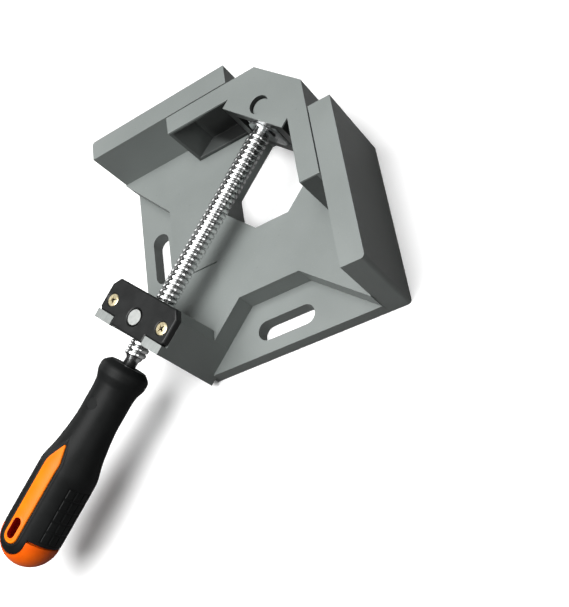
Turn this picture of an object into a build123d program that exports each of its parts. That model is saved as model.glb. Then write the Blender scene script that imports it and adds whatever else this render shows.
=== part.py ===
from build123d import *
from math import sqrt
import os

os.makedirs("parts", exist_ok=True)

# Corner clamp with one screw. Millimetres, +Z up, base standing on z = 0.
# The left fence runs along +X and the right fence along +Y. The origin is the corner where their
# two inner faces would meet. The screw runs along the diagonal between them.
# "along" is the distance from the origin on that diagonal, "across" the distance square to it.

# base casting
fence_length = 157.0
fence_thickness = 14.0
fence_start = 49.0
fence_height = 58.0
fence_wall = 3.0
fence_end_radius = 2.5
fence_end_draft = 2.0
deck_top = 24.0
deck_thickness = 3.5
skirt_wall = 3.5
rib_thickness = 3.0
ear_top = 9.3
ear_depth = 34.0
ear_near = 39.0
ear_far = 80.0
ear_plate = 4.5
slot_length = 38.4
slot_radius = 6.3
slot_inset = 14.5
hole_side = 82.0
hole_near = 39.0
hole_far = 62.0
hole_back = 10.0
hole_back_corner = 30.0
recess_corner = fence_length - 65.0
recess_side = 34.0
recess_depth = 1.0
rib_lift = 3.0
fence_pockets = 3

# post that carries the nut
post_half_width = 30.5
post_reach = 3.77
post_draft = 2.0
post_lift = 6.0
post_depth = 22.4
post_nose_depth = 5.1
post_nose_half_width = 26.4
foot_half_width = 28.5
channel_half_width = 15.0
channel_floor = 32.0
lug_depth = 5.6
lug_inner = 15.4
cap_thickness = 4.5
cap_top = 60.0
cap_gap = 0.15
cap_corner = 1.8
cap_chamfer = 0.8
cap_bulge_inset = 0.9
core_top = 38.0
core_length = 18.0

# screw
screw_height = 44.5
screw_radius = 6.25
shank_radius = 4.0
tip_radius = 3.5
thread_start = 52.0
thread_reach = 9.7
thread_runout = 1.6
tip_end = 31.0

# nut and its pivots
nut_inset = 11.5
nut_length = 20.0
nut_width = 24.0
nut_pivot_radius = 5.3
nut_washer_radius = 9.0
nut_washer_thickness = 1.2
nut_pivot_depth = 3.5
nut_pivot_end = 21.0
nut_corner = 2.0
nut_head_gap = 0.3

# jaw
jaw_reach = 94.5
jaw_arm_width = 12.6
jaw_gap = 0.8
jaw_corner = 28.5
jaw_head_half_width = 25.2
jaw_head_front = 50.5
jaw_bottom_gap = 0.3
jaw_web = 2.6
jaw_flange = 2.4
jaw_end_wall = 2.0
jaw_end_slant = 11.4
jaw_head_wall = 8.0
jaw_head_plate = 6.0
jaw_head_back = 27.0
jaw_pivot_along = 41.7
jaw_pivot_radius = 6.1
jaw_pivot_sunk = 3.0
jaw_pivot_lift = 1.5
upper_pin_seat = 3.1
lower_pin_seat = 9.6
pin_chamfer = 0.5

# swivel block at the tip of the screw
tip_block_length = 16.0
tip_block_width = 21.0
tip_block_round = 3.0
tip_washer_radius = 9.0
tip_washer_thickness = 1.2
ring_thickness = 1.0
ring_radius = 6.6
ring_groove_radius = 2.8
ring_mouth = 4.6

# handle, with its lengths from its front end
handle_gap = 15.5
handle_length = 133.4
handle_turn = 8.0
collar_length = 6.8
collar_radius = 15.3
collar_face_radius = 11.9
waist_radius = 12.8
waist_start = 17.2
waist_end = 38.2
belly_start = 70.2
belly_radius = 18.1
grip_thickness = 2.8
grip_length = handle_length - 19.7
tongue_half_width = 10.2
tongue_end = handle_length - 6.7
inlay_tip = 55.0
inlay_shoulder = 67.2
inlay_end = handle_length - 12.6
inlay_half_width = 5.1
hang_slot_place = handle_length - 21.9
hang_slot_length = 13.0
hang_slot_radius = 2.9
cross_pin_place = 28.6
cross_pin_radius = 2.0
plug_radius = 3.6
plug_sunk = 0.4
shank_length = 89.2

# cap screws
cap_screw_inset = 13.8
cap_screw_across = 23.3
cap_screw_head_radius = 4.2
cap_screw_radius = 2.0
cap_screw_length = 16.0
cap_screw_sunk = 0.3

# clearances, and how far a cut runs past an open face
running_fit = 0.08
seat_fit = 0.02
free_gap = 0.3
cut_over = 1.0

# derived places
diagonal = Vector(1, 1, 0).normalized()
ear_line = fence_length - ear_depth
slot_line = fence_length - slot_inset
slot_along = (ear_near + ear_far) / 2
foot_corner = fence_length - foot_half_width * sqrt(2)
post_front = fence_length * sqrt(2) - post_half_width + post_reach
post_back = post_front - post_depth
post_nose = post_back - post_nose_depth
post_top = cap_top - cap_thickness
nut_along = post_front - nut_inset
cap_bulge_end = post_front - cap_bulge_inset
cap_screw_along = post_front - cap_screw_inset
thread_end = post_front + thread_reach
jaw_bottom = deck_top + jaw_bottom_gap
jaw_top = fence_height
jaw_head_floor = jaw_bottom + jaw_head_plate
jaw_head_ceiling = jaw_top - jaw_head_plate
nut_bottom = channel_floor + nut_washer_thickness
nut_top = post_top - nut_head_gap
tip_block_front = thread_start - tip_washer_thickness
tip_block_back = tip_block_front - tip_block_length
lug_line = post_front - lug_depth
block_bottom = jaw_head_floor + free_gap
block_top = jaw_head_ceiling - free_gap
deck_under = deck_top - deck_thickness
handle_front = post_front + handle_gap
handle_end = handle_front + handle_length
cross_pin_along = handle_front + cross_pin_place
shank_end = handle_front + shank_length
screw_axis = Axis((0, 0, screw_height), (1, 1, 0))


def flat_plane(height):
    """Horizontal plane whose x runs along the screw and whose y runs across it."""
    return Plane(origin=(0, 0, height), x_dir=(1, 1, 0), z_dir=(0, 0, 1))


def square_plane(along, height=screw_height):
    """Plane square to the screw at a distance along it, facing the handle, x across and y up."""
    return Plane(origin=diagonal * along + Vector(0, 0, height), x_dir=(-1, 1, 0), z_dir=(1, 1, 0))


def place(along, across):
    """The point in X and Y that lies at these distances along and across the screw."""
    return ((along - across) / sqrt(2), (along + across) / sqrt(2))


def post_outline(front):
    """Closed outline of the post, seen from above, with its front face at this distance."""
    with BuildLine() as outline:
        Polyline(
            (post_nose, -post_nose_half_width),
            (post_back, -post_half_width),
            (front, -post_half_width),
            (front, post_half_width),
            (post_back, post_half_width),
            (post_nose, post_nose_half_width),
            close=True,
        )
    return outline.line


def window_outline():
    """Closed outline of the eight-sided window in the deck."""
    with BuildLine() as outline:
        Polyline(
            (hole_side, hole_near),
            (hole_side, hole_far),
            (hole_far, hole_side),
            (hole_near, hole_side),
            (hole_back, hole_side - hole_near + hole_back),
            (hole_back, hole_back_corner),
            (hole_back_corner, hole_back),
            (hole_side - hole_near + hole_back, hole_back),
            close=True,
        )
    return outline.line


# The upright plane through the screw, x along it and y up from its axis. The clamp mirrors in it.
axis_plane = Plane(origin=(0, 0, screw_height), x_dir=(1, 1, 0), z_dir=(1, -1, 0))

# The same way along, with its face where the top of the handle has turned to.
handle_plane = Plane(
    origin=(0, 0, screw_height),
    x_dir=(1, 1, 0),
    z_dir=Vector(0, 0, 1).rotate(Axis((0, 0, 0), (1, 1, 0)), -handle_turn),
)


# Base casting
with BuildPart() as base_casting:
    # the ears, the deck and the fences, all hollow from below
    with BuildSketch():
        with BuildLine():
            Polyline(
                (fence_start, -fence_thickness),
                (fence_length, -fence_thickness),
                (fence_length, foot_corner),
                (foot_corner, fence_length),
                (-fence_thickness, fence_length),
                (-fence_thickness, fence_start),
                close=True,
            )
        make_face()
    extrude(amount=ear_top)
    with BuildSketch(Plane.XY.offset(ear_top)):
        with BuildLine():
            Polyline(
                (fence_start, -fence_thickness),
                (fence_length, -fence_thickness),
                (fence_length, 0),
                (ear_line, ear_near),
                (ear_line, ear_far),
                (fence_length, ear_far + ear_depth),
                (ear_far + ear_depth, fence_length),
                (ear_far, ear_line),
                (ear_near, ear_line),
                (0, fence_length),
                (-fence_thickness, fence_length),
                (-fence_thickness, fence_start),
                close=True,
            )
        make_face()
    extrude(amount=deck_top - ear_top)
    with BuildSketch(Plane.XY.offset(deck_top)):
        with Locations((fence_start, -fence_thickness)):
            Rectangle(fence_length - fence_start, fence_thickness, align=(Align.MIN, Align.MIN))
        with Locations((-fence_thickness, fence_start)):
            Rectangle(fence_thickness, fence_length - fence_start, align=(Align.MIN, Align.MIN))
    extrude(amount=fence_height - deck_top)

    # the post, whose front leans back, and its two lugs
    with BuildSketch(flat_plane(post_lift)):
        add(post_outline(post_front + post_draft))
        make_face()
    with BuildSketch(flat_plane(post_top)):
        add(post_outline(post_front))
        make_face()
    loft(ruled=True)
    with BuildSketch(flat_plane(post_top)):
        with Locations((post_front, -post_half_width)):
            Rectangle(lug_depth, post_half_width - lug_inner, align=(Align.MAX, Align.MIN))
        with Locations((post_front, post_half_width)):
            Rectangle(lug_depth, post_half_width - lug_inner, align=(Align.MAX, Align.MAX))
    extrude(amount=cap_thickness)

    # the ends of the fences lean back, and their outer corners are round
    for end_plane, outward in ((Plane.XZ, 1), (Plane.YZ, -1)):
        with BuildSketch(end_plane):
            with BuildLine():
                Polyline(
                    (fence_length, 0),
                    (fence_length, fence_height),
                    (fence_length - fence_end_draft, fence_height),
                    close=True,
                )
            make_face()
        extrude(amount=outward * fence_thickness, mode=Mode.SUBTRACT)
    fence_ends = base_casting.edges().filter_by(
        lambda e: abs(max(e.center().X, e.center().Y) - fence_length + fence_end_draft / 2) < 0.01
        and abs(min(e.center().X, e.center().Y) + fence_thickness) < 0.01
    )
    fillet(fence_ends, radius=fence_end_radius)

    # the eight-sided window, with its walls down to the ground
    with BuildSketch():
        add(window_outline())
        make_face()
    extrude(amount=fence_height, mode=Mode.SUBTRACT)

    # the shallow step in the deck before the post
    with BuildSketch(Plane.XY.offset(deck_top)):
        with BuildLine():
            Polyline(
                (recess_corner, recess_corner),
                (recess_corner, recess_corner + recess_side),
                place(post_nose, post_nose_half_width),
                place(post_nose, -post_nose_half_width),
                (recess_corner + recess_side, recess_corner),
                close=True,
            )
        make_face()
    extrude(amount=-recess_depth, mode=Mode.SUBTRACT)

    # one long slot in each ear
    with BuildSketch():
        with Locations((slot_along, slot_line)):
            SlotOverall(slot_length, 2 * slot_radius)
        with Locations((slot_line, slot_along)):
            SlotOverall(slot_length, 2 * slot_radius, rotation=90)
    extrude(amount=ear_top, mode=Mode.SUBTRACT)

    # the channel for the nut, its lower pivot hole and the two screw holes
    with BuildSketch(flat_plane(channel_floor)):
        with Locations((post_nose - cut_over, 0)):
            Rectangle(
                post_front + post_draft - post_nose + 2 * cut_over,
                2 * channel_half_width,
                align=(Align.MIN, Align.CENTER),
            )
    extrude(amount=post_top - channel_floor, mode=Mode.SUBTRACT)
    with BuildSketch(flat_plane(channel_floor)):
        with Locations((nut_along, 0)):
            Circle(nut_pivot_radius + running_fit)
    extrude(amount=-channel_floor, mode=Mode.SUBTRACT)
    with BuildSketch(flat_plane(post_top)):
        with Locations((cap_screw_along, cap_screw_across), (cap_screw_along, -cap_screw_across)):
            Circle(cap_screw_radius + seat_fit)
    extrude(amount=-(cap_screw_length - cap_thickness + cut_over), mode=Mode.SUBTRACT)

    # the underside: the deck is a plate within its skirt, round the walls of the window
    with BuildSketch():
        with BuildLine():
            Polyline(
                (fence_start - fence_thickness, 0),
                (fence_length, 0),
                (ear_line, ear_near),
                (ear_line, ear_far),
                (fence_length, foot_corner),
                (foot_corner, fence_length),
                (ear_far, ear_line),
                (ear_near, ear_line),
                (0, fence_length),
                (0, fence_start - fence_thickness),
                close=True,
            )
        make_face()
        offset(amount=-skirt_wall, kind=Kind.INTERSECTION)
        with BuildSketch(mode=Mode.SUBTRACT):
            add(window_outline())
            make_face()
            offset(amount=skirt_wall, kind=Kind.INTERSECTION)
    extrude(amount=deck_under, mode=Mode.SUBTRACT)
    with BuildSketch(Plane.XY.offset(rib_lift)):
        for rib_line in (hole_near, hole_far):
            with Locations(((hole_side + ear_line) / 2, rib_line)):
                Rectangle(ear_line - hole_side, rib_thickness)
            with Locations((rib_line, (hole_side + ear_line) / 2)):
                Rectangle(rib_thickness, ear_line - hole_side)
    extrude(amount=deck_under - rib_lift)
    with BuildSketch(flat_plane(rib_lift)):
        with Locations(((hole_side + hole_far) / sqrt(2), 0)):
            Rectangle(nut_along - nut_washer_radius - (hole_side + hole_far) / sqrt(2), rib_thickness,
                      align=(Align.MIN, Align.CENTER))
    extrude(amount=deck_under - rib_lift)

    # the underside of each ear: a plate, a skirt and a wall round the slot
    with BuildSketch():
        with BuildLine():
            Polyline(
                (ear_line, ear_near),
                (ear_line, ear_far),
                (fence_length, ear_far + ear_depth),
                (fence_length, 0),
                close=True,
            )
        make_face()
        offset(amount=-skirt_wall, kind=Kind.INTERSECTION)
        with Locations((slot_line, slot_along)):
            SlotOverall(
                slot_length + 2 * skirt_wall,
                2 * (slot_radius + skirt_wall),
                rotation=90,
                mode=Mode.SUBTRACT,
            )
        mirror(about=axis_plane)
    extrude(amount=ear_top - ear_plate, mode=Mode.SUBTRACT)

    # pockets inside both fences, between cross ribs, and a core on each side of the channel
    pocket_run = fence_length - fence_start - fence_wall
    pocket_pitch = pocket_run / fence_pockets
    with BuildSketch():
        for step in range(fence_pockets):
            middle = fence_start + fence_wall / 2 + pocket_pitch * (step + 0.5)
            with Locations((middle, -fence_thickness / 2)):
                Rectangle(pocket_pitch - rib_thickness, fence_thickness - 2 * fence_wall)
            with Locations((-fence_thickness / 2, middle)):
                Rectangle(fence_thickness - 2 * fence_wall, pocket_pitch - rib_thickness)
    extrude(amount=fence_height - fence_wall, mode=Mode.SUBTRACT)
    core_width = post_half_width - channel_half_width - 2 * skirt_wall
    with BuildSketch(flat_plane(0)):
        with Locations(
            (cap_screw_along, channel_half_width + skirt_wall + core_width / 2),
            (cap_screw_along, -channel_half_width - skirt_wall - core_width / 2),
        ):
            Rectangle(core_length, core_width)
    extrude(amount=core_top, mode=Mode.SUBTRACT)

base_casting.part.label = "base_casting"
export_step(base_casting.part, "parts/base_casting.step")


# Cover plate on the post
with BuildPart() as nut_cap:
    with BuildSketch(flat_plane(post_top)):
        with BuildLine():
            Polyline(
                (post_nose, -post_nose_half_width),
                (post_back, -post_half_width),
                (lug_line - cap_corner, -post_half_width),
                (lug_line, -post_half_width + cap_corner),
                (lug_line, -lug_inner + cap_gap),
                (cap_bulge_end, -lug_inner + cap_gap),
                (cap_bulge_end, lug_inner - cap_gap),
                (lug_line, lug_inner - cap_gap),
                (lug_line, post_half_width - cap_corner),
                (lug_line - cap_corner, post_half_width),
                (post_back, post_half_width),
                (post_nose, post_nose_half_width),
                close=True,
            )
        make_face()
        with Locations((nut_along, 0)):
            Circle(nut_pivot_radius + running_fit, mode=Mode.SUBTRACT)
    extrude(amount=cap_thickness)
    chamfer(nut_cap.faces().sort_by(Axis.Z)[-1].outer_wire().edges(), length=cap_chamfer)
    chamfer(nut_cap.faces().sort_by(Axis.Z)[-1].inner_wires()[0].edges(), length=cap_chamfer)
    with Locations(
        flat_plane(cap_top) * Location((cap_screw_along, cap_screw_across, 0)),
        flat_plane(cap_top) * Location((cap_screw_along, -cap_screw_across, 0)),
    ):
        CounterSinkHole(
            radius=cap_screw_radius + seat_fit,
            counter_sink_radius=cap_screw_head_radius + cap_screw_sunk + seat_fit,
            depth=cap_thickness,
        )
nut_cap.part.label = "nut_cap"
export_step(nut_cap.part, "parts/nut_cap.step")


# Countersunk screws that hold the cover plate
with BuildPart() as nut_cap_screws:
    for side in (1, -1):
        stem = Plane(
            origin=(*place(cap_screw_along, side * cap_screw_across), cap_top - cap_screw_sunk),
            x_dir=(1, 1, 0),
            z_dir=(1, -1, 0),
        )
        with BuildSketch(stem):
            with BuildLine():
                Polyline(
                    (0, 0),
                    (cap_screw_head_radius, 0),
                    (cap_screw_radius, cap_screw_radius - cap_screw_head_radius),
                    (cap_screw_radius, -cap_screw_length),
                    (0, -cap_screw_length),
                    close=True,
                )
            make_face()
        revolve(axis=Axis(stem.origin, (0, 0, 1)))
nut_cap_screws.part.label = "nut_cap_screws"
export_step(nut_cap_screws.part, "parts/nut_cap_screws.step")


# Washer that the nut turns on
with BuildPart() as nut_washer:
    with BuildSketch(flat_plane(channel_floor)):
        with Locations((nut_along, 0)):
            Circle(nut_washer_radius)
            Circle(nut_pivot_radius + running_fit, mode=Mode.SUBTRACT)
    extrude(amount=nut_washer_thickness)
nut_washer.part.label = "nut_washer"
export_step(nut_washer.part, "parts/nut_washer.step")


# Nut, and the two pins pressed into it that it turns on
with BuildPart() as nut_block:
    with BuildSketch(flat_plane(nut_bottom)):
        with Locations((nut_along, 0)):
            RectangleRounded(nut_length, nut_width, nut_corner)
    extrude(amount=nut_top - nut_bottom)
    with BuildSketch(square_plane(nut_along)):
        Circle(screw_radius + running_fit)
    extrude(amount=nut_length, both=True, mode=Mode.SUBTRACT)
    with BuildSketch(flat_plane(nut_top)):
        with Locations((nut_along, 0)):
            Circle(nut_pivot_radius + seat_fit)
    extrude(amount=-nut_pivot_depth, mode=Mode.SUBTRACT)
    with BuildSketch(flat_plane(nut_bottom)):
        with Locations((nut_along, 0)):
            Circle(nut_pivot_radius + seat_fit)
    extrude(amount=nut_pivot_depth, mode=Mode.SUBTRACT)
nut_block.part.label = "nut_block"
export_step(nut_block.part, "parts/nut_block.step")

with BuildPart() as nut_pivot_upper:
    with BuildSketch(flat_plane(nut_top - nut_pivot_depth)):
        with Locations((nut_along, 0)):
            Circle(nut_pivot_radius)
    extrude(amount=cap_top - nut_top + nut_pivot_depth)
    chamfer(nut_pivot_upper.faces().sort_by(Axis.Z)[-1].edges(), length=pin_chamfer)
nut_pivot_upper.part.label = "nut_pivot_upper"
export_step(nut_pivot_upper.part, "parts/nut_pivot_upper.step")

with BuildPart() as nut_pivot_lower:
    with BuildSketch(flat_plane(nut_bottom + nut_pivot_depth)):
        with Locations((nut_along, 0)):
            Circle(nut_pivot_radius)
    extrude(amount=-(nut_bottom + nut_pivot_depth - nut_pivot_end))
    chamfer(nut_pivot_lower.faces().sort_by(Axis.Z)[0].edges(), length=pin_chamfer)
nut_pivot_lower.part.label = "nut_pivot_lower"
export_step(nut_pivot_lower.part, "parts/nut_pivot_lower.step")


# Jaw: two channel arms on a hollow head that is open towards the screw
with BuildPart() as swing_jaw:
    arm_inside = jaw_gap + jaw_arm_width
    head_cusp = arm_inside + jaw_head_half_width * sqrt(2)
    with BuildSketch(Plane.XY.offset(jaw_bottom)):
        with BuildLine():
            Polyline(
                (jaw_corner, jaw_gap),
                (jaw_reach, jaw_gap),
                (jaw_reach, arm_inside),
                (head_cusp, arm_inside),
                place(jaw_head_front, -jaw_head_half_width),
                place(jaw_head_front, jaw_head_half_width),
                (arm_inside, head_cusp),
                (arm_inside, jaw_reach),
                (jaw_gap, jaw_reach),
                (jaw_gap, jaw_corner),
                close=True,
            )
        make_face()
    extrude(amount=jaw_top - jaw_bottom)
    channel_end = jaw_reach - jaw_end_wall
    with BuildSketch(Plane.XY.offset(jaw_bottom + jaw_flange)):
        with BuildLine():
            Polyline(
                (head_cusp, jaw_gap + jaw_web),
                (channel_end - jaw_end_slant, jaw_gap + jaw_web),
                (channel_end, arm_inside),
                (head_cusp, arm_inside),
                close=True,
            )
        make_face()
        mirror(about=axis_plane)
    extrude(amount=jaw_top - jaw_bottom - 2 * jaw_flange, mode=Mode.SUBTRACT)
    with BuildSketch(flat_plane(jaw_head_floor)):
        with Locations((jaw_head_back, 0)):
            Rectangle(
                jaw_head_front - jaw_head_back + cut_over,
                2 * (jaw_head_half_width - jaw_head_wall),
                align=(Align.MIN, Align.CENTER),
            )
    extrude(amount=jaw_head_ceiling - jaw_head_floor, mode=Mode.SUBTRACT)
    with BuildSketch(flat_plane(jaw_bottom)):
        with Locations((jaw_pivot_along, 0)):
            Circle(jaw_pivot_radius + running_fit)
    extrude(amount=jaw_top - jaw_bottom, mode=Mode.SUBTRACT)
swing_jaw.part.label = "swing_jaw"
export_step(swing_jaw.part, "parts/swing_jaw.step")


# Swivel block on the tip of the screw, and the two pins that the jaw turns on
with BuildPart() as tip_block:
    with BuildSketch(flat_plane(block_bottom)):
        with Locations((tip_block_front, 0)):
            Rectangle(tip_block_length, tip_block_width, align=(Align.MAX, Align.CENTER))
    extrude(amount=block_top - block_bottom)
    fillet(tip_block.edges().filter_by(Axis.Z), radius=tip_block_round)
    with BuildSketch(square_plane(tip_block_front)):
        Circle(tip_radius + running_fit)
    extrude(amount=-tip_block_length, mode=Mode.SUBTRACT)
    with BuildSketch(flat_plane(block_top)):
        with Locations((jaw_pivot_along, 0)):
            Circle(jaw_pivot_radius + seat_fit)
    extrude(amount=-upper_pin_seat, mode=Mode.SUBTRACT)
    with BuildSketch(flat_plane(block_bottom)):
        with Locations((jaw_pivot_along, 0)):
            Circle(jaw_pivot_radius + seat_fit)
    extrude(amount=lower_pin_seat, mode=Mode.SUBTRACT)
tip_block.part.label = "tip_block"
export_step(tip_block.part, "parts/tip_block.step")

with BuildPart() as jaw_pivot_upper:
    with BuildSketch(flat_plane(block_top - upper_pin_seat)):
        with Locations((jaw_pivot_along, 0)):
            Circle(jaw_pivot_radius)
    extrude(amount=jaw_top - jaw_pivot_sunk - block_top + upper_pin_seat)
    chamfer(jaw_pivot_upper.faces().sort_by(Axis.Z)[-1].edges(), length=pin_chamfer)
jaw_pivot_upper.part.label = "jaw_pivot_upper"
export_step(jaw_pivot_upper.part, "parts/jaw_pivot_upper.step")

with BuildPart() as jaw_pivot_lower:
    with BuildSketch(flat_plane(block_bottom + lower_pin_seat)):
        with Locations((jaw_pivot_along, 0)):
            Circle(jaw_pivot_radius)
    extrude(amount=-(block_bottom + lower_pin_seat - jaw_bottom - jaw_pivot_lift))
    chamfer(jaw_pivot_lower.faces().sort_by(Axis.Z)[0].edges(), length=pin_chamfer)
jaw_pivot_lower.part.label = "jaw_pivot_lower"
export_step(jaw_pivot_lower.part, "parts/jaw_pivot_lower.step")


# Screw, with the washer and the ring that hold the swivel block on its tip
groove_start = tip_block_back - free_gap - ring_thickness
with BuildPart() as lead_screw:
    with BuildSketch(axis_plane):
        with BuildLine():
            Polyline(
                (tip_end, 0),
                (tip_end, tip_radius - pin_chamfer),
                (tip_end + pin_chamfer, tip_radius),
                (groove_start, tip_radius),
                (groove_start, ring_groove_radius),
                (groove_start + ring_thickness, ring_groove_radius),
                (groove_start + ring_thickness, tip_radius),
                (thread_start, tip_radius),
                (thread_start, screw_radius),
                (thread_end - thread_runout, screw_radius),
                (thread_end, shank_radius),
                (shank_end, shank_radius),
                (shank_end, 0),
                close=True,
            )
        make_face()
    revolve(axis=screw_axis)
    with BuildSketch(handle_plane):
        with Locations((cross_pin_along, 0)):
            Circle(cross_pin_radius + seat_fit)
    extrude(amount=shank_radius, both=True, mode=Mode.SUBTRACT)
lead_screw.part.label = "lead_screw"
export_step(lead_screw.part, "parts/lead_screw.step")

with BuildPart() as tip_washer:
    with BuildSketch(square_plane(tip_block_front)):
        Circle(tip_washer_radius)
        Circle(tip_radius + seat_fit, mode=Mode.SUBTRACT)
    extrude(amount=tip_washer_thickness)
tip_washer.part.label = "tip_washer"
export_step(tip_washer.part, "parts/tip_washer.step")

with BuildPart() as tip_retaining_ring:
    with BuildSketch(square_plane(groove_start)):
        Circle(ring_radius)
        Circle(ring_groove_radius + seat_fit, mode=Mode.SUBTRACT)
        Rectangle(ring_mouth, ring_radius, align=(Align.CENTER, Align.MAX), mode=Mode.SUBTRACT)
    extrude(amount=ring_thickness)
tip_retaining_ring.part.label = "tip_retaining_ring"
export_step(tip_retaining_ring.part, "parts/tip_retaining_ring.step")


# Handle: a hard core with inlays and an end dome, inside a soft grip
dome_middle = handle_end - belly_radius


def handle_stations(inset):
    """Corners of the handle's half outline, drawn this far inside its skin."""
    return (
        (handle_front + inset, collar_face_radius - inset),
        (handle_front + collar_length, collar_radius - inset),
        (handle_front + waist_start, waist_radius - inset),
        (handle_front + waist_end, waist_radius - inset),
        (handle_front + belly_start, belly_radius - inset),
        (dome_middle, belly_radius - inset),
    )


def close_outline(inset):
    """Carries a half outline over the end dome and back along the screw to the handle's front."""
    CenterArc((dome_middle, 0), belly_radius - inset, 0, 90)
    Polyline(
        (handle_end - inset, 0),
        (handle_front + inset, 0),
        (handle_front + inset, collar_face_radius - inset),
    )


def skin_outline():
    """Closed half outline of the handle, whose stations are joined by arcs."""
    face, peak, waist_near, waist_far, belly_near, belly_far = handle_stations(0)
    with BuildLine() as outline:
        TangentArc(peak, face, tangent=(-1, 0))
        for crest, foot, ahead in ((peak, waist_near, 1), (belly_near, waist_far, -1)):
            middle = ((crest[0] + foot[0]) / 2, (crest[1] + foot[1]) / 2)
            TangentArc(crest, middle, tangent=(ahead, 0))
            TangentArc(foot, middle, tangent=(-ahead, 0))
        Line(waist_near, waist_far)
        Line(belly_near, belly_far)
        close_outline(0)
    return outline.line


def seat_outline():
    """Closed half outline of the core under the grip, whose stations are joined by straight lines."""
    with BuildLine() as outline:
        Polyline(*handle_stations(grip_thickness))
        close_outline(grip_thickness)
    return outline.line


with BuildSketch(handle_plane) as inlay_outline:
    inlay_round = handle_front + inlay_end - inlay_half_width
    with BuildLine():
        Polyline(
            (inlay_round, inlay_half_width),
            (handle_front + inlay_shoulder, inlay_half_width),
            (handle_front + inlay_tip, 0),
            (handle_front + inlay_shoulder, -inlay_half_width),
            (inlay_round, -inlay_half_width),
        )
        RadiusArc((inlay_round, -inlay_half_width), (inlay_round, inlay_half_width), -inlay_half_width)
    make_face()

with BuildPart() as grip_shell:
    with BuildSketch(axis_plane):
        add(skin_outline())
        make_face()
    revolve(axis=screw_axis)
    with BuildSketch(axis_plane):
        add(seat_outline())
        make_face()
    revolve(axis=screw_axis, mode=Mode.SUBTRACT)
    with BuildSketch(handle_plane):
        with Locations((handle_front, 0)):
            Rectangle(grip_length, 3 * belly_radius, align=(Align.MIN, Align.CENTER))
        with Locations((handle_front + tongue_end - tongue_half_width, 0)):
            Circle(tongue_half_width)
            Rectangle(2 * tongue_half_width, 2 * tongue_half_width, align=(Align.MAX, Align.CENTER))
    extrude(amount=belly_radius + cut_over, both=True, mode=Mode.INTERSECT)
    add(inlay_outline.sketch)
    extrude(amount=belly_radius + cut_over, both=True, mode=Mode.SUBTRACT)

with BuildPart() as handle_grip:
    add(grip_shell.part)
    with BuildSketch(square_plane(handle_front)):
        Circle(shank_radius + free_gap)
    extrude(amount=2 * grip_thickness, mode=Mode.SUBTRACT)
    with BuildSketch(handle_plane):
        with Locations((cross_pin_along, 0)):
            Circle(plug_radius + seat_fit)
    extrude(amount=belly_radius, both=True, mode=Mode.SUBTRACT)
handle_grip.part.label = "handle_grip"
export_step(handle_grip.part, "parts/handle_grip.step")

with BuildPart() as handle_core:
    with BuildSketch(axis_plane):
        add(skin_outline())
        make_face()
    revolve(axis=screw_axis)
    add(grip_shell.part, mode=Mode.SUBTRACT)
    with BuildSketch(square_plane(handle_front)):
        Circle(shank_radius + seat_fit)
    extrude(amount=shank_length + free_gap, mode=Mode.SUBTRACT)
    with BuildSketch(handle_plane):
        with Locations((cross_pin_along, 0)):
            Circle(cross_pin_radius + seat_fit)
        with Locations((handle_front + hang_slot_place, 0)):
            SlotOverall(hang_slot_length, 2 * hang_slot_radius)
    extrude(amount=belly_radius + cut_over, both=True, mode=Mode.SUBTRACT)
handle_core.part.label = "handle_core"
export_step(handle_core.part, "parts/handle_core.step")

# Pin through the handle and the screw, and the plugs over its ends
with BuildPart() as handle_cross_pin:
    with BuildSketch(handle_plane):
        with Locations((cross_pin_along, 0)):
            Circle(cross_pin_radius)
    extrude(amount=waist_radius - grip_thickness - free_gap, both=True)
handle_cross_pin.part.label = "handle_cross_pin"
export_step(handle_cross_pin.part, "parts/handle_cross_pin.step")

with BuildPart() as handle_plugs:
    for side in (1, -1):
        with BuildSketch(handle_plane.offset(side * (waist_radius - grip_thickness))):
            with Locations((cross_pin_along, 0)):
                Circle(plug_radius)
        extrude(amount=side * (grip_thickness - plug_sunk))
handle_plugs.part.label = "handle_plugs"
export_step(handle_plugs.part, "parts/handle_plugs.step")
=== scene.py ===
"""Corner clamp: paint, thread, moulded handle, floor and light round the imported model.

Metres, in the model's own frame: +Z up, one fence along +X and the other along +Y. The screw runs level
along the diagonal between them. "along" is the distance from the origin on that diagonal, "across" the
distance square to it, and "turn" the angle about the screw, from straight up towards +across.
"""
from math import pi, sqrt

import bmesh
import bpy
import numpy as np
from mathutils import Matrix, Vector


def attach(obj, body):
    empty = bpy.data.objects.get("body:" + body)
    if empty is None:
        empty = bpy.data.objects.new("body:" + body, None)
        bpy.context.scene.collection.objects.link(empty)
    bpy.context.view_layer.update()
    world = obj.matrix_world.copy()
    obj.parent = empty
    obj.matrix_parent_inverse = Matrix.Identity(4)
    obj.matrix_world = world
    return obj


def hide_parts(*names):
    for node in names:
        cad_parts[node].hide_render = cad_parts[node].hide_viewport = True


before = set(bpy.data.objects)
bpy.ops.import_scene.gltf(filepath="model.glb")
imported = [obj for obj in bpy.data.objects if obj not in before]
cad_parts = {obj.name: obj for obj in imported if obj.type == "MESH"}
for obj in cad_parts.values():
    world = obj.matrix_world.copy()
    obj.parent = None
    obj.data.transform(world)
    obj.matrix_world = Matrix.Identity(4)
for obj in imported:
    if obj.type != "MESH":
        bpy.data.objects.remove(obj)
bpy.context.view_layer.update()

ALONG = np.array([1, 1, 0]) / sqrt(2)
ACROSS = np.array([-1, 1, 0]) / sqrt(2)
UP = np.array([0, 0, 1])


# Places read from the frame

def points(node):
    """A node's vertices as (along, across, height)."""
    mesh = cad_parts[node].data
    flat = np.empty(3 * len(mesh.vertices))
    mesh.vertices.foreach_get("co", flat)
    xyz = flat.reshape(-1, 3)
    return np.stack([xyz @ ALONG, xyz @ ACROSS, xyz[:, 2]], axis=1)


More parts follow.
